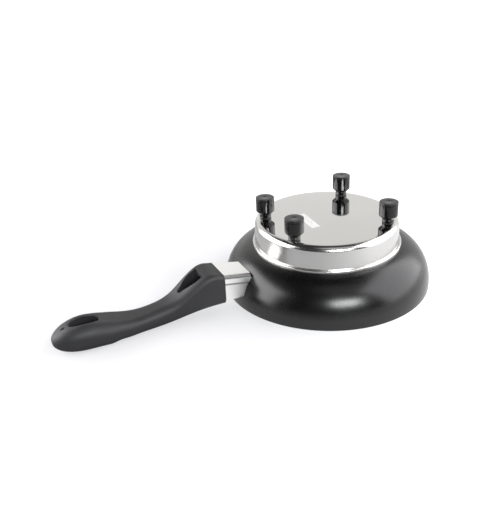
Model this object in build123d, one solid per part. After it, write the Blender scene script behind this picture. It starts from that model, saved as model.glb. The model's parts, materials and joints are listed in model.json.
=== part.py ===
"""Electric frying pan, 20 cm, lying upside down on its rim with its four feet up.

Millimetres. The origin is on the pan's axis in the plane of the rim, +Z is up
and the handle runs along -X. The bowl opens downwards, so the heater base and
its cover stand on top of it.
"""
import math
import os

from build123d import *

# bowl
rim_radius = 100.0
bowl_wall = 2.2
bowl_land = 4.5
base_flat_radius = 66.0
pan_depth = 42.0
floor_thickness = 3.0
rim_round = 0.6

# heater plate and element
heat_plate_radius = 62.0
heat_plate_thickness = 4.5
ring_radius = 44.0
sheath_radius = 3.25
ring_gap_angle = 30.0
cold_end_bend = 8.0
cold_end_rise = 2.0
seal_radius = 2.7
seal_height = 1.6
pin_radius = 1.25
pin_height = 4.2

# cover
cover_rise = 24.2
cover_sheet = 0.6
flat_radius = 63.2
shoulder_radius = 5.5
skirt_draft = 0.9
skirt_lift = 0.5
trim_width = 2.0
trim_height = 2.4
trim_round = 1.2
insulation_radius = 59.0
insulation_thickness = 2.0

# feet
foot_circle_radius = 58.6
near_foot_angle = 29.4
far_foot_angle = 43.9
foot_height = 20.7
head_radius = 8.8
head_length = 13.6
neck_radius = 5.6
foot_chamfer = 3.0
foot_lip = 2.1
lip_groove = 0.3
dimple_radius = 0.8
foot_washer_radius = 5.2
foot_washer_thickness = 0.5
insert_radius = 3.4
insert_length = 9.0
stud_radius = 2.0
stud_reach = 12.0
stud_depth = 10.0
boss_radius = 5.5

# thermostat and thermal fuse
thermostat_radius = 8.0
thermostat_cap = 4.0
thermostat_body = 7.0
strap_sheet = 0.8
strap_width = 9.0
strap_screw_pitch = 27.0
tab_width = 6.3
tab_sheet = 0.8
tab_reach = 15.0
fuse_radius = 2.0
fuse_length = 9.0
fuse_offset = 29.0
fuse_sleeve_wall = 0.6
fuse_sleeve_length = 13.6
fuse_clip_sheet = 0.6
fuse_pad_width = 9.0
fuse_pad_length = 18.0
small_screw_radius = 1.5
small_head_radius = 2.8
small_head_height = 1.8

# appliance inlet
inlet_width = 32.0
inlet_height = 13.4
inlet_wall = 1.5
inlet_rise = 11.7
inlet_back = 56.0
inlet_stand_out = 2.9
inlet_floor = 3.6
inlet_flange_width = 46.0
inlet_flange_height = 13.0
inlet_flange_thickness = 2.8
inlet_screw_pitch = 38.4
inlet_pin_pitch = 14.0
inlet_pin_radius = 2.0
inlet_pin_recess = 2.6
inlet_pin_drop = 0.8
earth_strip_width = 7.0
earth_strip_sheet = 0.8

# wiring
wire_radius = 1.3
crimp_radius = 1.8
crimp_length = 4.0
receptacle_length = 7.0
receptacle_width = 7.4
receptacle_height = 2.4
eyelet_radius = 3.2
eyelet_sheet = 0.8
lead_bend = 4.0
live_run_out = 6.0
live_run_in = 5.0
neutral_bend = 5.0
neutral_run_out = 8.0
neutral_run_in = 6.0
neutral_lane_gap = 9.0
neutral_lane_reach = 8.0
earth_bend = 3.0
earth_run_out = 5.0
earth_run_in = 4.0
earth_turn_x = 11.0
earth_turn_y = 13.0
earth_screw_x = 12.0
earth_screw_y = 30.0

# handle
handle_tilt = 7.1
handle_joint_reach = 16.0
handle_joint_z = 26.4
bracket_half_width = 15.0
bracket_half_height = 13.3
bracket_taper = 0.0615
bracket_corner = 3.2
bracket_sheet = 1.2
seam_drop = 6.2
seam_depth = 0.4
seam_width = 0.6
wall_boss_radius = 6.0
wall_boss_length = 10.0
wall_boss_sink = 8.0
wall_flange_radius = 9.0
wall_flange_thickness = 3.0
grip_length = 157.4
grip_front_half_width = 17.0
grip_waist_half_width = 12.2
grip_palm_half_width = 17.2
grip_front_top = 40.2
grip_hump_top = 41.9
grip_neck_top = 23.6
grip_waist_top = 15.8
grip_palm_top = 24.2
grip_front_bottom = 10.9
grip_palm_bottom = 0.6
grip_stop_drop = 1.0
grip_shoulder_at = 5.0
grip_hump_at = 11.5
grip_dip_from = 30.0
grip_neck_at = 52.6
grip_waist_at = 66.0
grip_dip_at = 82.0
grip_stop_at = 104.6
grip_stop_reach = 2.5
grip_belly_at = 114.0
grip_tip_from = 122.0
grip_palm_at = 132.6
grip_tip_droop = 2.3
grip_tip_fullness = 2.3
front_rounding = 0.28
crown_rounding = 0.92
belly_rounding = 0.57
spigot_length = 10.0
window_start = 18.5
window_length = 21.5
window_half_width = 7.6
window_corner = 1.6
hang_hole_at = 127.4
hang_hole_half_length = 13.4
hang_hole_half_width = 7.0
tip_mark_at = 146.0
tip_mark_length = 3.8
tip_mark_width = 1.6
tip_mark_depth = 2.0
screw_radius = 2.5
screw_head_radius = 4.6
screw_head_height = 3.0
screw_washer_radius = 5.6
screw_washer_thickness = 1.0
screw_thread = 7.5
screw_slot_width = 1.2
screw_slot_depth = 1.2
screw_access_rise = 2.4

# clearances
seat_gap = 0.05
slide_gap = 0.3
hole_gap = 0.1

BASE = (Align.CENTER, Align.CENTER, Align.MIN)
heat_top = pan_depth + heat_plate_thickness
plate_z = pan_depth + cover_rise
inlet_z = pan_depth + inlet_rise
handle_joint = rim_radius + handle_joint_reach
cover_inside_z = plate_z - cover_sheet
skirt_radius = flat_radius + shoulder_radius
skirt_foot_radius = skirt_radius + skirt_draft
cover_foot_z = pan_depth + skirt_lift
tab_z = heat_top + thermostat_cap + thermostat_body + 0.8
insulation_low = cover_inside_z - slide_gap - insulation_thickness


def disc(radius, low, high, x=0.0, y=0.0):
    return Pos(x, y, low) * Cylinder(radius, high - low, align=BASE)


def block(low, high):
    size = [b - a for a, b in zip(low, high)]
    middle = [(a + b) / 2 for a, b in zip(low, high)]
    return Pos(*middle) * Box(*size)


def turned(*edges):
    return revolve(Plane.XZ * make_face(edges), Axis.Z)


def turned_polygon(*points):
    return revolve(Plane.XZ * make_face(Polyline(*points, close=True)), Axis.Z)


def smooth(value):
    value = min(max(value, 0.0), 1.0)
    return value * value * (3 - 2 * value)


def blend(low, high, start, end, at):
    return low + (high - low) * smooth((at - start) / (end - start))


def bowl_solid(low, radius, flat, depth):
    side = EllipticalCenterArc((flat, bowl_land), radius - flat, depth - bowl_land, arc_size=90)
    edges = [
        Line((0, low), (radius, low)),
        Line((radius, low), (radius, bowl_land)),
        side,
        Line((flat, depth), (0, depth)),
        Line((0, depth), (0, low)),
    ]
    return turned(*edges)


def bowl_outside(gap=0.0):
    return bowl_solid(0, rim_radius + gap, base_flat_radius, pan_depth + gap)


def bowl_inside():
    inner = rim_radius - bowl_wall
    return bowl_solid(-5, inner, base_flat_radius, pan_depth - floor_thickness)


def pan_body():
    outside = bowl_outside()
    rim = outside.edges().group_by(Axis.Z)[0]
    return fillet(rim, rim_round) - bowl_inside()


def foot_places():
    near = [180 - near_foot_angle, 180 + near_foot_angle]
    far = [-far_foot_angle, far_foot_angle]
    places = []
    for angle in near + far:
        turn = math.radians(angle)
        x = foot_circle_radius * math.cos(turn)
        y = foot_circle_radius * math.sin(turn)
        places.append((x, y))
    return places


def element_path():
    z = heat_top
    gap = ring_gap_angle
    ring = CenterArc((0, 0, z), ring_radius, 180 + gap, 360 - 2 * gap)
    edges = [ring]
    for at, side in ((0, -1), (1, 1)):
        point = ring @ at
        along = (ring % at) * side
        middle = point + along * (cold_end_bend * math.sin(math.pi / 4))
        middle += Vector(0, 0, cold_end_bend * (1 - math.cos(math.pi / 4)))
        end = point + along * cold_end_bend + Vector(0, 0, cold_end_bend)
        edges.append(ThreePointArc(point, middle, end))
        edges.append(Line(end, end + Vector(0, 0, cold_end_rise)))
    return edges


def cold_end_places():
    ring = CenterArc((0, 0, heat_top), ring_radius, 180 + ring_gap_angle, 360 - 2 * ring_gap_angle)
    first = ring @ 0 - (ring % 0) * cold_end_bend
    last = ring @ 1 + (ring % 1) * cold_end_bend
    return {"neutral": (first.X, first.Y), "live": (last.X, last.Y)}


def heating_element(grow=0.0):
    edges = element_path()
    path = Wire([edges[2], edges[1], edges[0], edges[3], edges[4]])
    start = Plane(path @ 0, z_dir=path % 0)
    return sweep(start * Circle(sheath_radius + grow), path=path)


def heat_plate():
    plate = disc(heat_plate_radius, pan_depth, heat_top)
    for x, y in foot_places():
        boss = disc(boss_radius, pan_depth, cover_inside_z - seat_gap, x, y)
        plate += chamfer(boss.edges().group_by(Axis.Z)[-1], 1.0)
        plate -= disc(stud_radius + seat_gap, plate_z - stud_depth, plate_z, x, y)
    pad_half = fuse_pad_length / 2
    half = fuse_pad_width / 2
    plate += block((-fuse_offset - half, -pad_half, pan_depth), (-fuse_offset + half, pad_half, fuse_seat_z()))
    plate -= heating_element(seat_gap)
    for x, y in strap_screw_places():
        plate -= disc(small_screw_radius + seat_gap, pan_depth + 1, heat_top, x, y)
    x, y = earth_screw_place()
    plate -= disc(small_screw_radius + seat_gap, pan_depth + 1, heat_top, x, y)
    x, y = fuse_screw_place()
    plate -= disc(small_screw_radius + seat_gap, fuse_seat_z() - 5, fuse_seat_z(), x, y)
    return plate


def cold_end_top():
    return heat_top + cold_end_bend + cold_end_rise


def element_seal(x, y):
    low = cold_end_top()
    bead = disc(seal_radius, low, low + seal_height, x, y)
    top = bead.edges().group_by(Axis.Z)[-1]
    return chamfer(top, 0.5) - disc(pin_radius + seat_gap, low, low + seal_height, x, y)


def element_pin(x, y):
    low = cold_end_top()
    pin = disc(pin_radius, low, low + seal_height + pin_height, x, y)
    return chamfer(pin.edges().group_by(Axis.Z)[-1], 0.3)


def thermostat_cap_piece():
    cap = disc(thermostat_radius, heat_top, heat_top + thermostat_cap)
    return fillet(cap.edges().group_by(Axis.Z)[0], 0.6)


def thermostat_body_piece():
    low = heat_top + thermostat_cap
    body = disc(thermostat_radius - 0.8, low, low + thermostat_body)
    return chamfer(body.edges().group_by(Axis.Z)[-1], 0.6)


def strap_screw_places():
    half = strap_screw_pitch / 2
    return [(0, -half), (0, half)]


def thermostat_strap():
    hug = thermostat_radius - 0.8 + seat_gap
    step = thermostat_radius + 1.2
    end = strap_screw_pitch / 2 + small_head_radius + 1.2
    low = heat_top
    high = heat_top + thermostat_cap
    half = strap_width / 2
    strap = block((-half, -step - strap_sheet, high), (half, step + strap_sheet, high + strap_sheet))
    strap += disc(thermostat_radius + 1.4, high, high + strap_sheet)
    for side in (-1, 1):
        ys = sorted((side * step, side * (step + strap_sheet)))
        strap += block((-half, ys[0], low), (half, ys[1], high + strap_sheet))
        ys = sorted((side * step, side * end))
        strap += block((-half, ys[0], low), (half, ys[1], low + strap_sheet))
    strap -= disc(hug, high, high + strap_sheet)
    for x, y in strap_screw_places():
        strap -= disc(small_screw_radius + seat_gap, low, low + strap_sheet, x, y)
    return strap


def small_screw(x, y, seat, depth):
    head = disc(small_head_radius, seat, seat + small_head_height, x, y)
    head = fillet(head.edges().group_by(Axis.Z)[-1], 0.8)
    shank = disc(small_screw_radius, seat - depth, seat, x, y)
    slot_low = seat + small_head_height * 0.6
    slot = block((x - small_head_radius, y - 0.4, slot_low), (x + small_head_radius, y + 0.4, seat + 4))
    return head + shank - slot


def thermostat_tab(side):
    low = tab_z - tab_sheet / 2
    inner = 2.0
    xs = sorted((side * inner, side * tab_reach))
    blade = block((xs[0], -tab_width / 2, low), (xs[1], tab_width / 2, low + tab_sheet))
    body_top = heat_top + thermostat_cap + thermostat_body
    middle = side * (inner + 2.4)
    return blade + disc(1.6, body_top, low + tab_sheet + 0.6, middle, 0)


def fuse_seat_z():
    return tab_z - fuse_radius - fuse_sleeve_wall - seat_gap * 2


def fuse_screw_place():
    return (-fuse_offset, fuse_pad_length / 2 - 2.6)


def along_x(radius, low, high, y, z):
    return Pos(low, y, z) * Rot(0, 90, 0) * Cylinder(radius, high - low, align=BASE)


def thermal_fuse():
    half = fuse_length / 2
    body = along_x(fuse_radius, -fuse_offset - half, -fuse_offset + half, 0, tab_z)
    body = chamfer(body.edges(), 0.5)
    tail = fuse_sleeve_length / 2
    return body + along_x(0.5, -fuse_offset - tail, -fuse_offset + tail, 0, tab_z)


def fuse_sleeve():
    half = fuse_sleeve_length / 2
    inner = fuse_radius + seat_gap
    outer = fuse_radius + fuse_sleeve_wall
    sleeve = along_x(outer, -fuse_offset - half, -fuse_offset + half, 0, tab_z)
    return sleeve - along_x(inner, -fuse_offset - half, -fuse_offset + half, 0, tab_z)


def fuse_clip():
    low = fuse_seat_z()
    inner = fuse_radius + fuse_sleeve_wall + seat_gap
    outer = inner + fuse_clip_sheet
    half = strap_width / 2 - 1.5
    end = fuse_pad_length / 2 - 0.4
    left = -fuse_offset - half
    right = -fuse_offset + half
    clip = along_x(outer, left, right, 0, tab_z)
    clip += block((left, -outer, low), (right, outer, tab_z))
    clip += block((left, -outer, low), (right, end, low + fuse_clip_sheet))
    clip -= along_x(inner, left, right, 0, tab_z)
    clip -= block((left, -inner, low - 1), (right, inner, tab_z))
    x, y = fuse_screw_place()
    return clip - disc(small_screw_radius + seat_gap, low, low + fuse_clip_sheet, x, y)


def insulation_disc():
    sheet = disc(insulation_radius, insulation_low, insulation_low + insulation_thickness)
    for x, y in foot_places():
        sheet -= disc(boss_radius + slide_gap, insulation_low, plate_z, x, y)
    return sheet


def cover_solid(inset, low):
    foot = skirt_foot_radius - inset
    edges = [
        Line((0, low), (foot, low)),
        Line((foot, low), (skirt_radius - inset, plate_z - shoulder_radius)),
        CenterArc((flat_radius, plate_z - shoulder_radius), shoulder_radius - inset, 0, 90),
        Line((flat_radius, plate_z - inset), (0, plate_z - inset)),
        Line((0, plate_z - inset), (0, low)),
    ]
    return turned(*edges)


def inlet_mouth(grow, low, high):
    outline = RectangleRounded(inlet_width + 2 * grow, inlet_height + 2 * grow, 3.0 + grow)
    plane = Plane((low, 0, inlet_z), x_dir=(0, 1, 0), z_dir=(1, 0, 0))
    return extrude(plane * outline, high - low)


def base_cover():
    cover = cover_solid(0, cover_foot_z) - cover_solid(cover_sheet, cover_foot_z)
    for x, y in foot_places():
        cover -= disc(stud_radius + hole_gap, cover_inside_z - 1, plate_z + 1, x, y)
    cover -= inlet_mouth(hole_gap, inlet_back, rim_radius)
    for turn in inlet_screw_turns():
        cover -= Rot(0, 0, turn) * along_x(small_screw_radius + hole_gap, inlet_back, rim_radius, 0, inlet_z)
    return cover


def trim_ring():
    inner = skirt_foot_radius + seat_gap
    outer = inner + trim_width
    low = bowl_land
    high = pan_depth + trim_height - seat_gap
    ring = disc(outer, low, high)
    ring = fillet(ring.edges().group_by(Axis.Z)[-1], trim_round)
    ring -= disc(inner, low, high)
    return ring - bowl_outside(seat_gap)


def foot_part():
    low = plate_z + foot_washer_thickness
    top = plate_z + foot_height
    head_low = top - head_length
    neck_top = head_low - foot_chamfer
    groove = top - foot_lip
    points = [
        (0, low),
        (neck_radius, low),
        (neck_radius, neck_top),
        (head_radius, head_low),
        (head_radius, groove - 0.5),
        (head_radius - lip_groove, groove - 0.25),
        (head_radius, groove),
        (head_radius, top),
        (0, top),
    ]
    foot = turned_polygon(*points)
    foot = fillet(foot.edges().group_by(Axis.Z)[-1], 0.4)
    foot -= disc(insert_radius + seat_gap, low, low + insert_length)
    foot -= disc(stud_radius + hole_gap, low, plate_z + stud_reach + 1)
    return foot - Pos(0, 0, top + dimple_radius * 0.4) * Sphere(dimple_radius)


def foot_insert():
    low = plate_z + foot_washer_thickness
    shape = disc(insert_radius, low, low + insert_length)
    shape -= disc(stud_radius + seat_gap, low, low + insert_length)
    waist = low + insert_length / 2
    ring = disc(insert_radius + 1, waist - 0.6, waist + 0.6) - disc(insert_radius - 0.4, waist - 0.6, waist + 0.6)
    return shape - ring


def foot_washer():
    high = plate_z + foot_washer_thickness
    return disc(foot_washer_radius, plate_z, high) - disc(stud_radius + hole_gap, plate_z, high)


def foot_stud():
    stud = disc(stud_radius, plate_z - stud_depth, plate_z + stud_reach)
    ends = stud.edges().group_by(Axis.Z)
    return chamfer(ends[0] + ends[-1], 0.4)


def inlet_front():
    return skirt_foot_radius + inlet_stand_out


def inlet_screw_turns():
    turn = math.degrees(math.asin(inlet_screw_pitch / 2 / skirt_foot_radius))
    return [-turn, turn]


def inlet_housing():
    flange_inner = skirt_radius - cover_sheet - inlet_flange_thickness
    half = inlet_flange_width / 2
    tall = inlet_flange_height / 2
    flange = block((inlet_back, -half, inlet_z - tall), (rim_radius, half, inlet_z + tall))
    flange -= disc(flange_inner, pan_depth, plate_z)
    flange &= cover_solid(cover_sheet + seat_gap, cover_foot_z)
    body = inlet_mouth(0, inlet_back, inlet_front())
    front = body.faces().sort_by(Axis.X)[-1]
    body = fillet(front.edges(), 0.6)
    housing = body + flange
    cavity = RectangleRounded(inlet_width - 2 * inlet_wall, inlet_height - 2 * inlet_wall, 1.8)
    floor_x = inlet_back + inlet_floor
    plane = Plane((floor_x, 0, inlet_z), x_dir=(0, 1, 0), z_dir=(1, 0, 0))
    housing -= extrude(plane * cavity, inlet_front() - floor_x)
    for side in (-1, 1):
        y = side * inlet_pin_pitch / 2
        housing -= along_x(inlet_pin_radius + seat_gap, inlet_back, floor_x, y, inlet_pin_z())
    strip = earth_strip_box(seat_gap)
    housing -= strip
    for turn in inlet_screw_turns():
        reach = skirt_foot_radius - 6
        hole = along_x(small_screw_radius + seat_gap, reach, rim_radius, 0, inlet_z)
        housing -= Rot(0, 0, turn) * hole
    return housing


def inlet_pin_z():
    return inlet_z - inlet_pin_drop


def earth_strip_z():
    return inlet_z + inlet_height / 2 - inlet_wall - earth_strip_sheet / 2 - 0.1


def earth_strip_box(grow):
    z = earth_strip_z()
    half = earth_strip_width / 2 + grow
    thick = earth_strip_sheet / 2 + grow
    end = inlet_front() - inlet_pin_recess - 1.0
    return block((inlet_back - 1.0, -half, z - thick), (end, half, z + thick))


def receptacle_tab(y, z):
    inner = inlet_back - receptacle_length - 1.0
    low = z - tab_sheet / 2
    return block((inner + 1.0, y - tab_width / 2, low), (inlet_back, y + tab_width / 2, low + tab_sheet))


def inlet_pin(side):
    y = side * inlet_pin_pitch / 2
    z = inlet_pin_z()
    pin = along_x(inlet_pin_radius, inlet_back, inlet_front() - inlet_pin_recess, y, z)
    tip = pin.edges().filter_by(GeomType.CIRCLE).group_by(Axis.X)[-1]
    return fillet(tip, 1.2) + receptacle_tab(y, z)


def inlet_earth():
    strip = earth_strip_box(0)
    z = earth_strip_z()
    strip -= block((inlet_back - 2, -earth_strip_width, z - 1), (inlet_back, earth_strip_width, z + 1))
    return strip + receptacle_tab(0, z)


def skirt_slope():
    return skirt_draft / (plate_z - shoulder_radius - cover_foot_z)


def inlet_screw(turn):
    seat = skirt_radius + skirt_slope() * (plate_z - shoulder_radius - inlet_z)
    seat += seat_gap + small_head_radius * skirt_slope()
    head = along_x(small_head_radius, seat, seat + small_head_height, 0, inlet_z)
    rim = head.edges().filter_by(GeomType.CIRCLE).group_by(Axis.X)[-1]
    head = fillet(rim, 0.9)
    shank = along_x(small_screw_radius, seat - 5.0, seat, 0, inlet_z)
    low = seat + small_head_height * 0.6
    slot = block((low, -0.4, inlet_z - small_head_radius), (seat + 4, 0.4, inlet_z + small_head_radius))
    return Rot(0, 0, turn) * (head + shank - slot)


def fitted_bend(points, bend):
    """The bend radius, or the largest that the shortest leg leaves room for."""
    places = [Vector(*point) for point in points]
    legs = [b - a for a, b in zip(places, places[1:])]
    shares = [0.0]
    for before, after in zip(legs, legs[1:]):
        shares.append(math.tan(math.radians(before.get_angle(after)) / 2))
    shares.append(0.0)
    for leg, first, second in zip(legs, shares, shares[1:]):
        bend = min(bend, 0.98 * leg.length / (first + second))
    return bend


def tube(points, radius, bend):
    path = FilletPolyline(*points, radius=fitted_bend(points, bend))
    start = Plane(path @ 0, z_dir=path % 0)
    return sweep(start * Circle(radius), path=path)


def crimp(point, towards, length=crimp_length):
    plane = Plane(point, z_dir=towards)
    return extrude(plane * Circle(crimp_radius), length)


def receptacle(x_tip, y, z, side):
    """A push-on receptacle over a blade whose tip is at x_tip and points to side."""
    cover_end = x_tip + side * 1.0
    start = cover_end - side * receptacle_length
    xs = sorted((start, cover_end))
    half = receptacle_width / 2
    tall = receptacle_height / 2
    shell = block((xs[0], y - half, z - tall), (xs[1], y + half, z + tall))
    slot_half = tab_width / 2 + hole_gap
    slot_tall = tab_sheet / 2 + hole_gap
    inner = sorted((start, x_tip + side * hole_gap))
    shell -= block((inner[0], y - slot_half, z - slot_tall), (inner[1], y + slot_half, z + slot_tall))
    return shell + crimp((cover_end, y, z), (side, 0, 0)), cover_end + side * crimp_length


def eyelet(x, y, low, towards, hole):
    """A ring terminal round a pin, with its barrel pointing towards the wire."""
    ring = disc(eyelet_radius, low, low + eyelet_sheet, x, y)
    turn = math.degrees(math.atan2(towards[1], towards[0]))
    reach = eyelet_radius + 1.2
    neck = Pos(x, y, low) * Rot(0, 0, turn) * block((1.0, -1.4, 0), (reach + 1, 1.4, eyelet_sheet))
    z = low + crimp_radius
    step = Vector(towards[0], towards[1], 0).normalized()
    root = Vector(x, y, z) + step * reach
    barrel = crimp(root, step)
    barrel -= disc(eyelet_radius - 0.2, low, low + 8, x, y)
    shape = ring + neck + barrel
    if hole > 0:
        shape -= disc(hole, low - 5, low + 8, x, y)
    return shape, root + step * crimp_length


def inlet_tab_tip():
    return inlet_back - receptacle_length


def live_lead():
    y = inlet_pin_pitch / 2
    z = inlet_pin_z()
    first, x1 = receptacle(inlet_tab_tip(), y, z, -1)
    last, x2 = receptacle(tab_reach, 0, tab_z, 1)
    points = [(x1, y, z), (x1 - live_run_out, y, z), (x2 + live_run_in, 0, tab_z), (x2, 0, tab_z)]
    return first + last + tube(points, wire_radius, lead_bend)


def link_lead():
    first, x1 = receptacle(-tab_reach, 0, tab_z, -1)
    end = -fuse_offset + fuse_sleeve_length / 2
    return first + along_x(wire_radius, end, x1 + 0.5, 0, tab_z)


def eyelet_z():
    return cold_end_top() + seal_height + seat_gap


def load_lead():
    x, y = cold_end_places()["live"]
    eye, end = eyelet(x, y, eyelet_z(), (0, -1), pin_radius + seat_gap)
    start = -fuse_offset - fuse_sleeve_length / 2
    points = [(start, 0, tab_z), (x, 0, tab_z), tuple(end)]
    return eye + tube(points, wire_radius, lead_bend)


def neutral_lead():
    y1 = -inlet_pin_pitch / 2
    z1 = inlet_pin_z()
    first, x1 = receptacle(inlet_tab_tip(), y1, z1, -1)
    x, y = cold_end_places()["neutral"]
    eye, end = eyelet(x, y, eyelet_z(), (0.79, -0.61), pin_radius + seat_gap)
    step = Vector(0.79, -0.61, 0).normalized()
    near = end + step * neutral_run_in
    lane = -(strap_screw_pitch / 2 + neutral_lane_gap)
    reach = thermostat_radius + neutral_lane_reach
    points = [
        (x1, y1, z1),
        (x1 - neutral_run_out, y1, z1),
        (reach, lane, end.Z),
        (-reach, lane, end.Z),
        tuple(near),
        tuple(end),
    ]
    return first + eye + tube(points, wire_radius, neutral_bend)


def earth_screw_place():
    return (earth_screw_x, earth_screw_y)


def earth_lead():
    z1 = earth_strip_z()
    first, x1 = receptacle(inlet_tab_tip(), 0, z1, -1)
    x, y = earth_screw_place()
    step = Vector(0.87, -0.5, 0).normalized()
    eye, end = eyelet(x, y, heat_top, (step.X, step.Y), small_screw_radius + seat_gap)
    points = [
        (x1, 0, z1),
        (x1 - earth_run_out, 0, z1),
        (x1 - earth_turn_x, earth_turn_y, z1),
        tuple(end + step * earth_run_in),
        tuple(end),
    ]
    return first + eye + tube(points, wire_radius, earth_bend)


def handle_line(at):
    """Height of the handle's axis at a distance from the pan's axis."""
    return handle_joint_z + (at - handle_joint) * math.tan(math.radians(handle_tilt))


def handle_plane(at):
    slope = math.radians(handle_tilt)
    return Plane((-at, 0, handle_line(at)), x_dir=(0, 1, 0), z_dir=(-math.cos(slope), 0, math.sin(slope)))


def handle_rod(radius, start, length):
    return extrude(handle_plane(start) * Circle(radius), length)


def cross_plane(at, z):
    return Plane((-at, 0, z), x_dir=(0, 1, 0), z_dir=(1, 0, 0))


def bracket_section(at, inset):
    tall = bracket_half_height + (at - handle_joint) * bracket_taper
    wide = bracket_half_width
    corner = bracket_corner - inset
    outline = RectangleRounded(2 * (wide - inset), 2 * (tall - inset), corner)
    return cross_plane(at, handle_line(at)) * outline


def bracket_block(inset, start, end):
    return loft([bracket_section(start, inset), bracket_section(end, inset)], ruled=True)


def seam_groove(side):
    faces = []
    for at in (base_flat_radius, handle_joint):
        tall = bracket_half_height + (at - handle_joint) * bracket_taper
        z = handle_line(at) + tall - seam_drop
        plane = cross_plane(at, z)
        faces.append(plane * Pos(side * bracket_half_width, 0) * Rectangle(2 * seam_depth, seam_width))
    return loft(faces, ruled=True)


def bracket_sleeve():
    sleeve = bracket_block(0, base_flat_radius, handle_joint)
    sleeve -= bracket_block(bracket_sheet, base_flat_radius, handle_joint)
    for side in (-1, 1):
        sleeve -= seam_groove(side)
    return sleeve - bowl_outside(seat_gap)


def wall_boss_start():
    height = handle_line(rim_radius) - bowl_land
    rise = height / (pan_depth - bowl_land)
    return base_flat_radius + (rim_radius - base_flat_radius) * math.sqrt(1 - rise * rise)


def wall_boss():
    start = wall_boss_start() - wall_boss_sink
    length = wall_boss_sink + wall_boss_length
    boss = handle_rod(wall_boss_radius, start, length)
    boss += handle_rod(wall_flange_radius, start, wall_boss_sink + wall_flange_thickness)
    boss -= handle_rod(screw_radius + seat_gap, start, length)
    return boss - bowl_outside(seat_gap)


def grip_stations():
    shares = (0, 0.04, 0.095, 0.16, 0.225, 0.29, 0.355, 0.435, 0.54, 0.66, 0.76, 0.836, 0.877, 0.94, 1)
    body = [grip_tip_from * share for share in shares]
    tip = grip_length - grip_tip_from
    return body + [grip_tip_from + tip * share for share in (0.1, 0.3, 0.5, 0.68, 0.82, 0.93, 0.985)]


def grip_top_line(at):
    """Up over the window, down through the neck to the waist, up again to the palm."""
    top = blend(grip_front_top, grip_hump_top, 0, grip_hump_at, at)
    top -= blend(0, grip_hump_top - grip_neck_top, grip_hump_at, grip_neck_at, at)
    top -= blend(0, grip_neck_top - grip_waist_top, grip_dip_from, grip_dip_at, at)
    return top + blend(0, grip_palm_top - grip_waist_top, grip_dip_at, grip_palm_at, at)


def grip_bottom_line(at):
    """Down to the palm, with a small finger stop where the belly begins."""
    low = grip_palm_bottom + grip_stop_drop
    bottom = blend(grip_front_bottom, low, grip_shoulder_at, grip_waist_at + 4, at)
    stop = blend(0, grip_stop_drop, grip_stop_at - grip_stop_reach, grip_stop_at + grip_stop_reach, at)
    return bottom - stop


def grip_half_width(at):
    if at < grip_waist_at:
        return blend(grip_front_half_width, grip_waist_half_width, grip_shoulder_at, grip_waist_at, at)
    return blend(grip_waist_half_width, grip_palm_half_width, grip_waist_at, grip_belly_at, at)


def grip_shape(at):
    """Half width, top and bottom of the grip at a distance from its front face."""
    half = grip_half_width(at)
    top = grip_top_line(at)
    bottom = grip_bottom_line(at)
    if at > grip_tip_from:
        share = (at - grip_tip_from) / (grip_length - grip_tip_from)
        fall = math.sqrt(1 - share ** grip_tip_fullness)
        middle = (top + bottom) / 2 - grip_tip_droop * share * share
        tall = (top - bottom) / 2 * fall
        half = half * fall
        top = middle + tall
        bottom = middle - tall
    return half, top, bottom


def grip_section(at):
    """Nearly square at the front face, then domed above and flatter below."""
    half, top, bottom = grip_shape(at)
    reach = min(half, (top - bottom) / 2)
    crown = reach * blend(front_rounding, crown_rounding, grip_shoulder_at, grip_waist_at - 6, at)
    belly = reach * blend(front_rounding, belly_rounding, grip_shoulder_at, grip_waist_at - 6, at)
    outline = Rectangle(2 * half, top - bottom)
    outline = fillet(outline.vertices().group_by(Axis.Y)[0], belly)
    outline = fillet(outline.vertices().group_by(Axis.Y)[-1], crown)
    return cross_plane(handle_joint + at, (top + bottom) / 2) * outline


def window_outline():
    start = handle_joint + window_start
    half = window_half_width
    end = start + window_length
    nose = half * 0.5
    points = [(-start, -half), (-start, half)]
    sides = Spline((-start, half), (-end + nose, nose * 0.9), tangents=((-1, 0), (-0.82, -0.57)))
    other = Spline((-end + nose, -nose * 0.9), (-start, -half), tangents=((0.82, -0.57), (1, 0)))
    tip = ThreePointArc((-end + nose, nose * 0.9), (-end, 0), (-end + nose, -nose * 0.9))
    outline = make_face([Line(*points), sides, tip, other])
    corners = outline.vertices().group_by(Axis.X)[-1]
    return fillet(corners, window_corner)


def hang_hole_outline():
    at = handle_joint + hang_hole_at
    return Pos(-at, 0) * Ellipse(hang_hole_half_length, hang_hole_half_width)


def grip():
    body = loft([grip_section(at) for at in grip_stations()])
    body -= Pos(0, 0, -10) * extrude(window_outline(), 80)
    body -= Pos(0, 0, -10) * extrude(hang_hole_outline(), 80)
    inset = bracket_sheet + slide_gap
    body += bracket_block(inset, handle_joint - spigot_length, handle_joint)
    reach = spigot_length + window_start + window_length / 2
    body -= handle_rod(screw_radius + slide_gap, handle_joint - spigot_length - 1, reach)
    body -= screw_access()
    mark = handle_joint + tip_mark_at
    low = grip_shape(tip_mark_at)[1] - tip_mark_depth
    return body - Pos(-mark, 0, low) * extrude(SlotOverall(tip_mark_length, tip_mark_width), 10)


def screw_access():
    """A pocket in the window's square end, taller than wide, for the washer and the head."""
    radius = screw_washer_radius + slide_gap
    outline = RectangleRounded(2 * radius, 2 * radius + screw_access_rise, radius - seat_gap)
    return extrude(handle_plane(screw_seat()) * Pos(0, -screw_access_rise / 2) * outline, 12)


def screw_seat():
    return handle_joint + window_start - 3.0


def handle_washer():
    seat = screw_seat() + seat_gap
    washer = handle_rod(screw_washer_radius, seat, screw_washer_thickness)
    return washer - handle_rod(screw_radius + hole_gap, seat - 1, screw_washer_thickness + 2)


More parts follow.
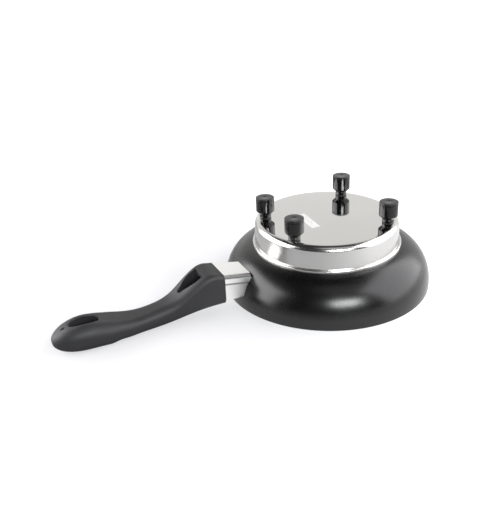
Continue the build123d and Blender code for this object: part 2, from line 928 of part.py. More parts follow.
def handle_screw():
    under = screw_seat() + 2 * seat_gap + screw_washer_thickness
    tip = wall_boss_start() + wall_boss_length - screw_thread
    head = handle_rod(screw_head_radius, under, screw_head_height)
    far = head.faces().sort_by(Axis.X)[0]
    head = fillet(far.edges(), 1.2)
    shank = handle_rod(screw_radius, tip, under - tip + 0.5)
    slot = Box(screw_slot_width, 4 * screw_head_radius, 2 * screw_slot_depth)
    slot = handle_plane(under + screw_head_height) * slot
    return head + shank - slot


def write(name, shape):
    export_step(shape, f"parts/{name}.step")


os.makedirs("parts", exist_ok=True)
write("pan_body", pan_body())
write("heat_plate", heat_plate())
write("heating_element", heating_element())
for pole, place in cold_end_places().items():
    write(f"element_seal_{pole}", element_seal(*place))
    write(f"element_pin_{pole}", element_pin(*place))
write("thermostat_cap", thermostat_cap_piece())
write("thermostat_body", thermostat_body_piece())
write("thermostat_strap", thermostat_strap())
for number, place in enumerate(strap_screw_places(), 1):
    write(f"strap_screw_{number}", small_screw(*place, heat_top + strap_sheet, 3.5))
write("thermostat_tab_in", thermostat_tab(1))
write("thermostat_tab_out", thermostat_tab(-1))
write("thermal_fuse", thermal_fuse())
write("fuse_sleeve", fuse_sleeve())
write("fuse_clip", fuse_clip())
write("fuse_screw", small_screw(*fuse_screw_place(), fuse_seat_z() + fuse_clip_sheet, 4.5))
write("insulation_disc", insulation_disc())
write("base_cover", base_cover())
write("trim_ring", trim_ring())
for number, place in enumerate(foot_places(), 1):
    write(f"foot_{number}", Pos(*place) * foot_part())
    write(f"foot_insert_{number}", Pos(*place) * foot_insert())
    write(f"foot_washer_{number}", Pos(*place) * foot_washer())
    write(f"foot_stud_{number}", Pos(*place) * foot_stud())
write("inlet_housing", inlet_housing())
write("inlet_pin_live", inlet_pin(1))
write("inlet_pin_neutral", inlet_pin(-1))
write("inlet_earth", inlet_earth())
for number, turn in enumerate(inlet_screw_turns(), 1):
    write(f"inlet_screw_{number}", inlet_screw(turn))
write("lead_live", live_lead())
write("lead_link", link_lead())
write("lead_load", load_lead())
write("lead_neutral", neutral_lead())
write("lead_earth", earth_lead())
write("earth_screw", small_screw(*earth_screw_place(), heat_top + eyelet_sheet, 3.5))
write("wall_boss", wall_boss())
write("bracket_sleeve", bracket_sleeve())
write("grip", grip())
write("handle_washer", handle_washer())
write("handle_screw", handle_screw())
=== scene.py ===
import json
import math

import bmesh
import bpy
from mathutils import Matrix, Vector


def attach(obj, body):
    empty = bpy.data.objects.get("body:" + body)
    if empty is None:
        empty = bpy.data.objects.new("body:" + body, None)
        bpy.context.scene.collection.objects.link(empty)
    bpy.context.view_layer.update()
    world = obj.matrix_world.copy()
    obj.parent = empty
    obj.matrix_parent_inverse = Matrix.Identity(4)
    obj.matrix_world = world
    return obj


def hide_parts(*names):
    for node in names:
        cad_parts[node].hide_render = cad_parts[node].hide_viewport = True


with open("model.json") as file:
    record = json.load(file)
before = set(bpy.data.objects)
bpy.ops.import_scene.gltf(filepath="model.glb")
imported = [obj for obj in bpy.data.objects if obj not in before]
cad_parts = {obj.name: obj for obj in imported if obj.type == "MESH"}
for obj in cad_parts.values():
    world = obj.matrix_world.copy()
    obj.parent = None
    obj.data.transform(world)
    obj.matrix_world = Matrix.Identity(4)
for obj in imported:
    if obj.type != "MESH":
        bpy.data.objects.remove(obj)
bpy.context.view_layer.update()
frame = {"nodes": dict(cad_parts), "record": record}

mm = 0.001
scene = bpy.context.scene
nodes = frame["nodes"]
print("frame loaded:", len(nodes), "nodes")


# small helpers
def point(x, y, z):
    return Vector((x, y, z)) * mm


def chain(bm, corners, closed=False):
    # a wire through a few corners given as (radius, height) in millimetres
    verts = [bm.verts.new(point(x, 0, z)) for x, z in corners]
    pairs = list(zip(verts, verts[1:])) + ([(verts[-1], verts[0])] if closed else [])
    for a, b in pairs:
        bm.edges.new((a, b))
    return verts


def roundCorner(bm, vert, radius, segments):
    bmesh.ops.bevel(bm, geom=[vert], offset=radius * mm, offset_type="OFFSET", segments=segments,
                    profile=0.5, affect="VERTICES", material=-1)


def quarterTurn(bm, start, centre, angle, steps, stretch):
    # part of an ellipse: one vertex swung about a centre, then narrowed sideways
    first = bm.verts.new(point(start[0], 0, start[1]))
    before = set(bm.verts)
    swung = bmesh.ops.spin(bm, geom=[first], cent=point(centre[0], 0, centre[1]), axis=(0, 1, 0),
                           angle=angle, steps=steps, use_duplicate=False)
    last = [v for v in swung["geom_last"] if isinstance(v, bmesh.types.BMVert)][0]
    made = [first] + [v for v in bm.verts if v not in before]
    away = Matrix.Translation(-point(centre[0], 0, centre[1]))
    bmesh.ops.scale(bm, vec=(stretch, 1, 1), space=away, verts=made)
    return first, last


def spinWire(bm, steps):
    bmesh.ops.spin(bm, geom=bm.verts[:] + bm.edges[:], cent=(0, 0, 0), axis=(0, 0, 1),
                   angle=math.tau, steps=steps, use_merge=True, use_duplicate=False)
    bmesh.ops.remove_doubles(bm, verts=bm.verts, dist=1e-6)
    bmesh.ops.recalc_face_normals(bm, faces=bm.faces)


def shade(bm, sharpAngle):
    for face in bm.faces:
        face.smooth = True
    for edge in bm.edges:
        if len(edge.link_faces) == 2:
            edge.smooth = edge.calc_face_angle(0) < math.radians(sharpAngle)


def asMesh(bm, name, sharpAngle=32):
    shade(bm, sharpAngle)
    mesh = bpy.data.meshes.new(name)
    bm.to_mesh(mesh)
    bm.free()
    return mesh


def asObject(mesh, name):
    thing = bpy.data.objects.new(name, mesh)
    scene.collection.objects.link(thing)
    return thing


def cutAway(thing, cutters, operation="DIFFERENCE"):
    # boolean each cutter into the piece, apply, and drop the cutters
    for cutter in cutters:
        cut = thing.modifiers.new("cut", "BOOLEAN")
        cut.operation = operation
        cut.solver = "EXACT"
        cut.object = cutter
    graph = bpy.context.evaluated_depsgraph_get()
    mesh = bpy.data.meshes.new_from_object(thing.evaluated_get(graph))
    old = thing.data
    thing.modifiers.clear()
    thing.data = mesh
    bpy.data.meshes.remove(old)
    for cutter in cutters:
        used = cutter.data
        bpy.data.objects.remove(cutter)
        bpy.data.meshes.remove(used)


def reshade(thing, sharpAngle):
    bm = bmesh.new()
    bm.from_mesh(thing.data)
    shade(bm, sharpAngle)
    bm.to_mesh(thing.data)
    bm.free()


def dress(thing, finish, stands=()):
    thing.data.materials.clear()
    thing.data.materials.append(finish)
    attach(thing, "root")
    if stands:
        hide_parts(*stands)
    return thing


# materials
def newFinish(name, colour, roughness, metallic=0.0, **sockets):
    finish = bpy.data.materials.new(name)
    finish.use_nodes = True
    shader = finish.node_tree.nodes["Principled BSDF"]
    shader.inputs["Base Color"].default_value = (*colour, 1)
    shader.inputs["Roughness"].default_value = roughness
    shader.inputs["Metallic"].default_value = metallic
    for key, value in sockets.items():
        shader.inputs[key.replace("_", " ")].default_value = value
    finish.diffuse_color = (*colour, 1)
    return finish, shader


def objectNoise(finish, scale, detail=2.0, stretch=(1, 1, 1)):
    tree = finish.node_tree
    place = tree.nodes.new("ShaderNodeTexCoord")
    turn = tree.nodes.new("ShaderNodeMapping")
    turn.inputs["Scale"].default_value = stretch
    noise = tree.nodes.new("ShaderNodeTexNoise")
    noise.inputs["Scale"].default_value = scale
    noise.inputs["Detail"].default_value = detail
    tree.links.new(place.outputs["Object"], turn.inputs["Vector"])
    tree.links.new(turn.outputs["Vector"], noise.inputs["Vector"])
    return noise


def varyColour(finish, shader, noise, dark, light):
    tree = finish.node_tree
    ramp = tree.nodes.new("ShaderNodeValToRGB")
    ramp.color_ramp.elements[0].position = 0.3
    ramp.color_ramp.elements[1].position = 0.7
    ramp.color_ramp.elements[0].color = (*dark, 1)
    ramp.color_ramp.elements[1].color = (*light, 1)
    tree.links.new(noise.outputs["Fac"], ramp.inputs["Fac"])
    tree.links.new(ramp.outputs["Color"], shader.inputs["Base Color"])


def varyRoughness(finish, shader, noise, low, high):
    tree = finish.node_tree
    spread = tree.nodes.new("ShaderNodeMapRange")
    spread.inputs["From Min"].default_value = 0.3
    spread.inputs["From Max"].default_value = 0.7
    spread.inputs["To Min"].default_value = low
    spread.inputs["To Max"].default_value = high
    tree.links.new(noise.outputs["Fac"], spread.inputs["Value"])
    tree.links.new(spread.outputs["Result"], shader.inputs["Roughness"])


def sumOf(tree, first, second):
    both = tree.nodes.new("ShaderNodeMath")
    both.operation = "ADD"
    tree.links.new(first, both.inputs[0])
    tree.links.new(second, both.inputs[1])
    return both.outputs["Value"]


def bumpFrom(finish, shader, noise, strength, distance):
    tree = finish.node_tree
    bump = tree.nodes.new("ShaderNodeBump")
    bump.inputs["Strength"].default_value = strength
    bump.inputs["Distance"].default_value = distance
    tree.links.new(noise.outputs["Fac"], bump.inputs["Height"])
    tree.links.new(bump.outputs["Normal"], shader.inputs["Normal"])


panCoat = {"colour": (0.0009, 0.0008, 0.001), "light": (0.0015, 0.0014, 0.0017), "rough": (0.26, 0.29),
           "specular": 0.5, "grain": 1500, "grainDepth": 0.02 * mm}


def makePanCoat():
    finish, shader = newFinish("coatedPan", panCoat["colour"], panCoat["rough"][0],
                               Specular_IOR_Level=panCoat["specular"])
    varyColour(finish, shader, objectNoise(finish, 45, 3), panCoat["colour"], panCoat["light"])
    varyRoughness(finish, shader, objectNoise(finish, 60, 3), *panCoat["rough"])
    bumpFrom(finish, shader, objectNoise(finish, panCoat["grain"], 2), 0.15, panCoat["grainDepth"])
    return finish


mirror = {"colour": (0.61, 0.603, 0.588), "light": (0.64, 0.633, 0.617), "ring": 0.25, "skirt": 0.25,
          "shoulder": 0.2, "plate": 0.05, "ringTo": (44.4, 45.4), "shoulderFrom": (57.0, 62.5),
          "plateFrom": (65.8, 66.18), "cloud": 0.01}


def makeMirrorSteel():
    # polished on the flat, softer on the ring and softest on the drawn wall
    finish, shader = newFinish("mirrorSteel", mirror["colour"], mirror["plate"], 1.0)
    varyColour(finish, shader, objectNoise(finish, 18, 2), mirror["colour"], mirror["light"])
    tree = finish.node_tree
    place = tree.nodes.new("ShaderNodeTexCoord")
    parts = tree.nodes.new("ShaderNodeSeparateXYZ")
    tree.links.new(place.outputs["Object"], parts.inputs["Vector"])
    total = None
    for span, low, high in ((mirror["ringTo"], mirror["ring"], mirror["skirt"]),
                            (mirror["shoulderFrom"], 0, mirror["shoulder"] - mirror["skirt"]),
                            (mirror["plateFrom"], 0, mirror["plate"] - mirror["shoulder"])):
        height = tree.nodes.new("ShaderNodeMapRange")
        height.interpolation_type = "SMOOTHSTEP"
        height.inputs["From Min"].default_value = span[0] * mm
        height.inputs["From Max"].default_value = span[1] * mm
        height.inputs["To Min"].default_value = low
        height.inputs["To Max"].default_value = high
        tree.links.new(parts.outputs["Z"], height.inputs["Value"])
        total = height.outputs["Result"] if total is None else sumOf(tree, total, height.outputs["Result"])
    wave = tree.nodes.new("ShaderNodeMapRange")
    wave.inputs["From Min"].default_value = 0.3
    wave.inputs["From Max"].default_value = 0.7
    wave.inputs["To Min"].default_value = -mirror["cloud"]
    wave.inputs["To Max"].default_value = mirror["cloud"]
    tree.links.new(objectNoise(finish, 40, 4).outputs["Fac"], wave.inputs["Value"])
    total = sumOf(tree, total, wave.outputs["Result"])
    tree.links.new(total, shader.inputs["Roughness"])
    return finish


# the bands are painted shade: dark along the folded edge and along the seam, a little darker on the top face
sleeveSteel = {"colour": (0.95, 0.945, 0.93), "light": (0.98, 0.975, 0.96), "rough": (0.34, 0.40), "grain": 900,
               "slope": 0.186, "top": 18.12, "span": 12.0,
               "shadeBands": ((0.0, 0.9), (0.01, 0.9), (0.03, 0.15), (0.24, 0.08), (0.34, 1.0), (0.62, 1.0), (0.69, 0.3),
                         (0.76, 0.38), (0.82, 1.0))}


def makeSleeveSteel():
    # brushed steel, with painted shade darkening a band along the folded edge and another along the seam, and the
    # top face painted a little darker than the walls
    s = sleeveSteel
    finish, shader = newFinish("bracketSteel", s["colour"], s["rough"][0], 1.0)
    grain = objectNoise(finish, s["grain"], 3, (0.04, 1, 1))
    varyColour(finish, shader, grain, s["colour"], s["light"])
    varyRoughness(finish, shader, grain, *s["rough"])
    bumpFrom(finish, shader, grain, 0.03, 0.02 * mm)
    tree = finish.node_tree
    # painted shade: a ramp across the height multiplies the colour darker along the folded edge and along the seam
    place = tree.nodes.new("ShaderNodeTexCoord")
    height = tree.nodes.new("ShaderNodeVectorMath")
    height.operation = "DOT_PRODUCT"
    height.inputs[1].default_value = (s["slope"], 0, 1)
    tree.links.new(place.outputs["Object"], height.inputs[0])
    drop = tree.nodes.new("ShaderNodeMapRange")
    drop.inputs["From Min"].default_value = s["top"] * mm
    drop.inputs["From Max"].default_value = (s["top"] - s["span"]) * mm
    tree.links.new(height.outputs["Value"], drop.inputs["Value"])
    ramp = tree.nodes.new("ShaderNodeValToRGB")
    stops = ramp.color_ramp.elements
    while len(stops) < len(s["shadeBands"]):
        stops.new(0.5)
    for stop, (where, grey) in zip(stops, s["shadeBands"]):
        stop.position = where
        stop.color = (grey, grey, grey, 1)
    tree.links.new(drop.outputs["Result"], ramp.inputs["Fac"])
    paintedShade = tree.nodes.new("ShaderNodeMix")
    paintedShade.data_type = "RGBA"
    paintedShade.blend_type = "MULTIPLY"
    paintedShade.inputs["Factor"].default_value = 1.0
    tree.links.new(shader.inputs["Base Color"].links[0].from_socket, paintedShade.inputs[6])
    tree.links.new(ramp.outputs["Color"], paintedShade.inputs[7])
    tree.links.new(paintedShade.outputs[2], shader.inputs["Base Color"])
    return finish


footGloss = {"colour": (0.004, 0.004, 0.0045), "light": (0.007, 0.007, 0.0075), "rough": (0.08, 0.13),
             "specular": 0.4}


def makeFootPlastic():
    finish, shader = newFinish("footPlastic", footGloss["colour"], footGloss["rough"][0],
                               Specular_IOR_Level=footGloss["specular"])
    varyColour(finish, shader, objectNoise(finish, 300, 2), footGloss["colour"], footGloss["light"])
    varyRoughness(finish, shader, objectNoise(finish, 500, 3), *footGloss["rough"])
    bumpFrom(finish, shader, objectNoise(finish, 900, 2), 0.06, 0.02 * mm)
    return finish


gripSoft = {"colour": (0.0105, 0.0103, 0.0118), "light": (0.0145, 0.0142, 0.0158), "rough": (0.53, 0.61),
            "grain": 2600, "grainDepth": 0.03 * mm}


def makeGripPlastic():
    finish, shader = newFinish("gripPlastic", gripSoft["colour"], gripSoft["rough"][0])
    varyColour(finish, shader, objectNoise(finish, 70, 3), gripSoft["colour"], gripSoft["light"])
    varyRoughness(finish, shader, objectNoise(finish, 90, 2), *gripSoft["rough"])
    bumpFrom(finish, shader, objectNoise(finish, gripSoft["grain"], 2), 0.25, gripSoft["grainDepth"])
    return finish


def makePlain(name, dark, light, rough, metallic, grain, depth):
    finish, shader = newFinish(name, dark, rough[0], metallic)
    varyColour(finish, shader, objectNoise(finish, grain, 3), dark, light)
    varyRoughness(finish, shader, objectNoise(finish, grain * 1.7, 2), *rough)
    bumpFrom(finish, shader, objectNoise(finish, grain * 4, 2), 0.12, depth * mm)
    return finish


finishes = {
    "coated_pan": makePanCoat(),
    "mirror_steel": makeMirrorSteel(),
    "bracket_steel": makeSleeveSteel(),
    "foot_plastic": makeFootPlastic(),
    "grip_plastic": makeGripPlastic(),
    "cast_aluminium": makePlain("castAluminium", (0.42, 0.42, 0.42), (0.55, 0.55, 0.55), (0.42, 0.55), 1, 220, 0.05),
    "sheath_steel": makePlain("sheathSteel", (0.16, 0.15, 0.14), (0.26, 0.25, 0.23), (0.38, 0.5), 1, 160, 0.03),
    "seal_ceramic": makePlain("sealCeramic", (0.62, 0.58, 0.5), (0.72, 0.69, 0.62), (0.5, 0.65), 0, 300, 0.03),
    "pin_steel": makePlain("pinSteel", (0.52, 0.51, 0.49), (0.62, 0.61, 0.59), (0.16, 0.26), 1, 500, 0.01),
    "cap_aluminium": makePlain("capAluminium", (0.6, 0.6, 0.6), (0.7, 0.7, 0.7), (0.25, 0.35), 1, 260, 0.02),
    "thermostat_case": makePlain("thermostatCase", (0.014, 0.012, 0.011), (0.03, 0.026, 0.024), (0.4, 0.5), 0, 300, 0.03),
    "strap_steel": makePlain("strapSteel", (0.45, 0.45, 0.44), (0.55, 0.55, 0.54), (0.28, 0.38), 1, 300, 0.02),
    "contact_brass": makePlain("contactBrass", (0.58, 0.42, 0.18), (0.68, 0.5, 0.24), (0.24, 0.34), 1, 400, 0.02),
    "fuse_case": makePlain("fuseCase", (0.5, 0.48, 0.42), (0.6, 0.57, 0.5), (0.3, 0.4), 1, 500, 0.02),
    "sleeving": makePlain("sleeving", (0.55, 0.54, 0.5), (0.68, 0.67, 0.63), (0.6, 0.75), 0, 900, 0.05),
    "mineral_sheet": makePlain("mineralSheet", (0.42, 0.38, 0.3), (0.56, 0.52, 0.43), (0.8, 0.95), 0, 240, 0.1),
    "washer_rubber": makePlain("washerRubber", (0.012, 0.012, 0.012), (0.02, 0.02, 0.02), (0.6, 0.7), 0, 400, 0.03),
    "inlet_plastic": makePlain("inletPlastic", (0.010, 0.010, 0.011), (0.016, 0.016, 0.017), (0.36, 0.46), 0, 500, 0.03),
    "wire_jacket": makePlain("wireJacket", (0.5, 0.5, 0.48), (0.6, 0.6, 0.58), (0.55, 0.65), 0, 700, 0.04),
    "wire_jacket_earth": makePlain("wireJacketEarth", (0.08, 0.3, 0.06), (0.5, 0.46, 0.05), (0.5, 0.6), 0, 90, 0.04),
    "boss_aluminium": makePlain("bossAluminium", (0.45, 0.45, 0.45), (0.57, 0.57, 0.57), (0.35, 0.48), 1, 260, 0.04),
}
print("finishes made:", len(finishes))

slotOf = {part["node"]: part["material_slot"] for part in frame["record"]["subparts"]}
for name, solid in nodes.items():
    solid.data.materials.clear()
    solid.data.materials.append(finishes[slotOf[name]])


# bowl, turned from its outer and inner curves
bowl = {"rim": 100.0, "wall": 2.2, "land": 4.5, "flat": 66.0, "depth": 42.0, "floor": 3.0,
        "rimRound": 0.6, "steps": 288}


def makeBowl():
    b = bowl
    bm = bmesh.new()
    outside = quarterTurn(bm, (b["flat"], b["depth"]), (b["flat"], b["land"]), math.pi / 2, 40,
                          (b["rim"] - b["flat"]) / (b["depth"] - b["land"]))
    top = b["depth"] - b["floor"]
    inside = quarterTurn(bm, (b["flat"], top), (b["flat"], b["land"]), math.pi / 2, 36,
                         (b["rim"] - b["wall"] - b["flat"]) / (top - b["land"]))
    foot = chain(bm, [(b["rim"], 0), (b["rim"] - b["wall"], 0)])
    lid = chain(bm, [(0, b["depth"]), (b["flat"] - 1, b["depth"])])
    bed = chain(bm, [(0, top), (b["flat"] - 1, top)])
    for a, c in ((outside[1], foot[0]), (inside[1], foot[1]), (lid[1], outside[0]), (bed[1], inside[0])):
        bm.edges.new((a, c))
    roundCorner(bm, foot[0], b["rimRound"], 4)
    spinWire(bm, b["steps"])
    return asObject(asMesh(bm, "bowl"), "bowl")


dress(makeBowl(), finishes["coated_pan"], ["pan_body"])
print("bowl made")


# base cover: one drawn sheet with the inlet's mouth and its two screw holes
cover = {"footRadius": 69.6, "footZ": 42.5, "skirtRadius": 68.7, "top": 66.2, "shoulder": 5.5,
         "sheet": 0.6, "steps": 320, "mouth": (32.2, 13.6, 3.1), "mouthZ": 53.7, "screwPitch": 38.4,
         "screwHole": 1.6}


def roundedBar(name, size, corner, low, high, z):
    # a bar along X with rounded long edges, used to cut openings
    bm = bmesh.new()
    bmesh.ops.create_grid(bm, x_segments=1, y_segments=1, size=0.5)
    bmesh.ops.scale(bm, vec=(size[0] * mm, size[1] * mm, 1), verts=bm.verts)
    bmesh.ops.bevel(bm, geom=bm.verts[:], offset=corner * mm, offset_type="OFFSET", segments=6,
                    profile=0.5, affect="VERTICES", material=-1)
    bmesh.ops.rotate(bm, cent=(0, 0, 0), matrix=Matrix(((0, 0, 1), (1, 0, 0), (0, 1, 0))), verts=bm.verts)
    bmesh.ops.translate(bm, vec=point(low, 0, z), verts=bm.verts)
    pushed = bmesh.ops.extrude_face_region(bm, geom=bm.faces[:])
    far = [v for v in pushed["geom"] if isinstance(v, bmesh.types.BMVert)]
    bmesh.ops.translate(bm, vec=point(high - low, 0, 0), verts=far)
    bmesh.ops.recalc_face_normals(bm, faces=bm.faces)
    return asObject(asMesh(bm, name), name)


def roundBar(name, radius, low, high, z, turn=0.0, segments=40):
    bm = bmesh.new()
    bmesh.ops.create_cone(bm, cap_ends=True, segments=segments, radius1=radius * mm, radius2=radius * mm,
                          depth=(high - low) * mm)
    bmesh.ops.rotate(bm, cent=(0, 0, 0), matrix=Matrix.Rotation(math.pi / 2, 3, "Y"), verts=bm.verts)
    bmesh.ops.translate(bm, vec=point((low + high) / 2, 0, z), verts=bm.verts)
    bmesh.ops.rotate(bm, cent=(0, 0, 0), matrix=Matrix.Rotation(turn, 3, "Z"), verts=bm.verts)
    return asObject(asMesh(bm, name), name)


def makeCover():
    c = cover
    bm = bmesh.new()
    wire = chain(bm, [(c["footRadius"], c["footZ"]), (c["skirtRadius"], c["top"]), (60.0, c["top"]),
                      (0, c["top"])])
    roundCorner(bm, wire[1], c["shoulder"], 20)
    spinWire(bm, c["steps"])
    up = sum((f.normal.z for f in bm.faces), 0.0)
    if up < 0:
        bmesh.ops.reverse_faces(bm, faces=bm.faces)
    bmesh.ops.solidify(bm, geom=bm.faces[:], thickness=c["sheet"] * mm)
    bmesh.ops.recalc_face_normals(bm, faces=bm.faces)
    shell = asObject(asMesh(bm, "baseCover"), "baseCover")
    turn = math.asin(c["screwPitch"] / 2 / c["footRadius"])
    cutters = [roundedBar("mouth", c["mouth"][:2], c["mouth"][2], 56, 90, c["mouthZ"])]
    for side in (-1, 1):
        cutters.append(roundBar("screwHole", c["screwHole"], 60, 80, c["mouthZ"], side * turn))
    cutAway(shell, cutters)
    reshade(shell, 32)
    return shell


dress(makeCover(), finishes["mirror_steel"], ["base_cover"])
print("cover made")


# trim ring: a half-round bead that closes the joint between cover and bowl
trim = {"inner": 69.65, "outer": 71.65, "low": 41.2, "top": 44.35, "round": 1.2, "steps": 320}


def makeTrim():
    t = trim
    bm = bmesh.new()
    wire = chain(bm, [(t["inner"], t["low"] + 0.5), (t["inner"], t["top"]), (t["outer"], t["top"]),
                      (t["outer"], t["low"] + 0.28)], closed=True)
    roundCorner(bm, wire[2], t["round"], 12)
    spinWire(bm, t["steps"])
    return asObject(asMesh(bm, "trimRing"), "trimRing")


dress(makeTrim(), finishes["mirror_steel"], ["trim_ring"])
print("trim ring made")


# feet
foot = {"circle": 58.6, "nearAngle": 29.4, "farAngle": 43.9, "base": 66.7, "top": 86.9, "head": 8.8,
        "headLength": 13.6, "neck": 5.6, "chamfer": 3.0, "lip": 2.1, "groove": 0.3, "lipRound": 0.4,
        "dimple": 0.8, "steps": 72}


def makeFoot(name, x, y):
    f = foot
    headLow = f["top"] - f["headLength"]
    grooveZ = f["top"] - f["lip"]
    bm = bmesh.new()
    corners = [(0, f["base"]), (f["neck"], f["base"]), (f["neck"], headLow - f["chamfer"]),
               (f["head"], headLow), (f["head"], grooveZ - 0.5), (f["head"] - f["groove"], grooveZ - 0.25),
               (f["head"], grooveZ), (f["head"], f["top"]), (1.4, f["top"]), (0.7, f["top"] - 0.22),
               (0, f["top"] - 0.45)]
    wire = chain(bm, corners)
    roundCorner(bm, wire[7], f["lipRound"], 4)
    roundCorner(bm, wire[3], 0.35, 3)
    roundCorner(bm, wire[2], 0.35, 3)
    roundCorner(bm, wire[1], 0.3, 2)
    spinWire(bm, f["steps"])
    bmesh.ops.translate(bm, vec=point(x, y, 0), verts=bm.verts)
    return asObject(asMesh(bm, name), name)


footAngles = [180 - foot["nearAngle"], 180 + foot["nearAngle"], -foot["farAngle"], foot["farAngle"]]
for number, angle in enumerate(footAngles, 1):
    turn = math.radians(angle)
    made = makeFoot(f"foot{number}", foot["circle"] * math.cos(turn), foot["circle"] * math.sin(turn))
    dress(made, finishes["foot_plastic"], [f"foot_{number}"])
print("feet made")


# bracket sleeve: folded steel between the bowl and the grip
sleeve = {"halfWidth": 17.0, "narrowing": 0.0577, "halfHeight": 13.3, "taper": 0.0615, "flat": 13.9,
          "edgeOut": 16.7, "edgeDrop": 2.3, "lower": 3.2, "sheet": 1.2, "joint": 116.0, "jointZ": 26.4,
          "tilt": 7.1, "inner": 66.0, "topEnd": 89.4, "endLow": 29.5, "seamDrop": 8.4, "seamWidth": 0.9,
          "seamDepth": 0.5}


def sleeveAxis(at):
    return sleeve["jointZ"] + (at - sleeve["joint"]) * math.tan(math.radians(sleeve["tilt"]))


def sleeveBar(name, inset, near, far):
    # flat top, a sloping edge on each side, then the walls down to round lower corners
    s = sleeve
    wide, tall = s["halfWidth"], s["halfHeight"]
    right = [(s["flat"], tall, 0.7), (s["edgeOut"], tall - s["edgeDrop"], 2.2), (wide, tall - s["seamDrop"], 0),
             (wide, -tall, s["lower"])]
    left = [(-y, z, corner) for y, z, corner in reversed(right)]
    bm = bmesh.new()
    verts = [bm.verts.new(point(0, y, z)) for y, z, corner in right + left]
    bm.faces.new(verts)
    for vert, (y, z, corner) in zip(verts, right + left):
        if corner:
            roundCorner(bm, vert, corner, 8)
    bmesh.ops.scale(bm, vec=(1, 1 - inset / wide, 1 - inset / tall), verts=bm.verts)
    first = bm.verts[:]
    pushed = bmesh.ops.extrude_face_region(bm, geom=bm.faces[:])
    last = [v for v in pushed["geom"] if isinstance(v, bmesh.types.BMVert)]
    for verts, at in ((first, far), (last, near)):
        step = at - s["joint"]
        bmesh.ops.scale(bm, vec=(1, 1 + step * s["narrowing"] / wide, 1 + step * s["taper"] / tall), verts=verts)
        bmesh.ops.translate(bm, vec=point(-at, 0, sleeveAxis(at)), verts=verts)
    bmesh.ops.recalc_face_normals(bm, faces=bm.faces)
    return asObject(asMesh(bm, name), name)


def topTrim():
    # squares off the upper end, which stops short of the bowl
    s = sleeve
    bm = bmesh.new()
    bmesh.ops.create_cube(bm, size=1.0)
    bmesh.ops.scale(bm, vec=point(30, 60, 30), verts=bm.verts)
    bmesh.ops.translate(bm, vec=point(15 - s["topEnd"], 0, 15 + s["endLow"]), verts=bm.verts)
    return asObject(asMesh(bm, "topTrim"), "topTrim")


def bowlPlug():
    # the bowl's outside as a solid, to cut the sleeve to the wall's curve
    b = bowl
    bm = bmesh.new()
    gap = 0.05
    outside = quarterTurn(bm, (b["flat"], b["depth"] + gap), (b["flat"], b["land"]), math.pi / 2, 40,
                          (b["rim"] + gap - b["flat"]) / (b["depth"] + gap - b["land"]))
    ends = chain(bm, [(0, b["depth"] + gap), (0, -5), (b["rim"] + gap, -5)])
    bm.edges.new((outside[0], ends[0]))
    bm.edges.new((outside[1], ends[2]))
    spinWire(bm, 256)
    return asObject(asMesh(bm, "bowlPlug"), "bowlPlug")


def seamBar(side):
    s = sleeve
    bm = bmesh.new()
    bmesh.ops.create_cube(bm, size=1.0)
    bmesh.ops.scale(bm, vec=(1, 2 * s["seamDepth"] * mm, s["seamWidth"] * mm), verts=bm.verts)
    for vert in bm.verts:
        at = s["inner"] if vert.co.x > 0 else s["joint"] + 2
        tall = s["halfHeight"] + (at - s["joint"]) * s["taper"]
        vert.co.x = -at * mm
        vert.co.y += side * (s["halfWidth"] + (at - s["joint"]) * s["narrowing"]) * mm
        vert.co.z += (sleeveAxis(at) + tall - s["seamDrop"]) * mm
    return asObject(asMesh(bm, "seam"), "seam")


def makeSleeve():
    s = sleeve
    outer = sleeveBar("bracketSleeve", 0.0, s["inner"], s["joint"])
    inner = sleeveBar("sleeveHollow", s["sheet"], s["inner"] - 2, s["joint"] + 2)
    cutAway(outer, [inner, bowlPlug(), topTrim(), seamBar(-1), seamBar(1)])
    reshade(outer, 32)
    return outer


dress(makeSleeve(), finishes["bracket_steel"], ["bracket_sleeve"])
print("sleeve made")


# grip: the moulded solid, remeshed so that its edges and holes roll over softly
grip = {"voxel": 0.5, "smooth": 5, "strength": 0.5, "windowFrom": 134.0, "windowHalf": 9.1, "shoulderAt": 146.0,
        "noseAt": 156.6, "slotAt": 262.0, "slotLength": 3.8, "slotWidth": 1.6,
        "slotLow": 18.4}


def tipSlot():
    # the small slot behind the hanging hole, cut last so that its edge stays crisp
    g = grip
    half = (g["slotLength"] - g["slotWidth"]) / 2
    bm = bmesh.new()
    bmesh.ops.create_circle(bm, cap_ends=True, segments=32, radius=g["slotWidth"] / 2 * mm)
    for vert in bm.verts:
        if abs(vert.co.x) > 1e-7:
            vert.co.x += math.copysign(half * mm, vert.co.x)
    bmesh.ops.translate(bm, vec=point(-g["slotAt"], 0, g["slotLow"]), verts=bm.verts)
    pushed = bmesh.ops.extrude_face_region(bm, geom=bm.faces[:])
    top = [v for v in pushed["geom"] if isinstance(v, bmesh.types.BMVert)]
    bmesh.ops.translate(bm, vec=point(0, 0, 10), verts=top)
    bmesh.ops.recalc_face_normals(bm, faces=bm.faces)
    return asObject(asMesh(bm, "tipSlot"), "tipSlot")


def windowPlug():
    # the window again, cut through the softened body so that its edge stays clear
    g = grip
    bm = bmesh.new()
    corners = [(-g["windowFrom"], -g["windowHalf"]), (-g["windowFrom"], g["windowHalf"]),
               (-g["shoulderAt"], g["windowHalf"]), (-g["noseAt"], 0), (-g["shoulderAt"], -g["windowHalf"])]
    verts = [bm.verts.new(point(x, y, -5)) for x, y in corners]
    bm.faces.new(verts)
    roundCorner(bm, verts[3], 4.2, 8)
    roundCorner(bm, verts[2], 7.0, 12)
    roundCorner(bm, verts[4], 7.0, 12)
    roundCorner(bm, verts[0], 0.5, 3)
    roundCorner(bm, verts[1], 0.5, 3)
    pushed = bmesh.ops.extrude_face_region(bm, geom=bm.faces[:])
    top = [v for v in pushed["geom"] if isinstance(v, bmesh.types.BMVert)]
    bmesh.ops.translate(bm, vec=point(0, 0, 60), verts=top)
    bmesh.ops.recalc_face_normals(bm, faces=bm.faces)
    return asObject(asMesh(bm, "windowPlug"), "windowPlug")


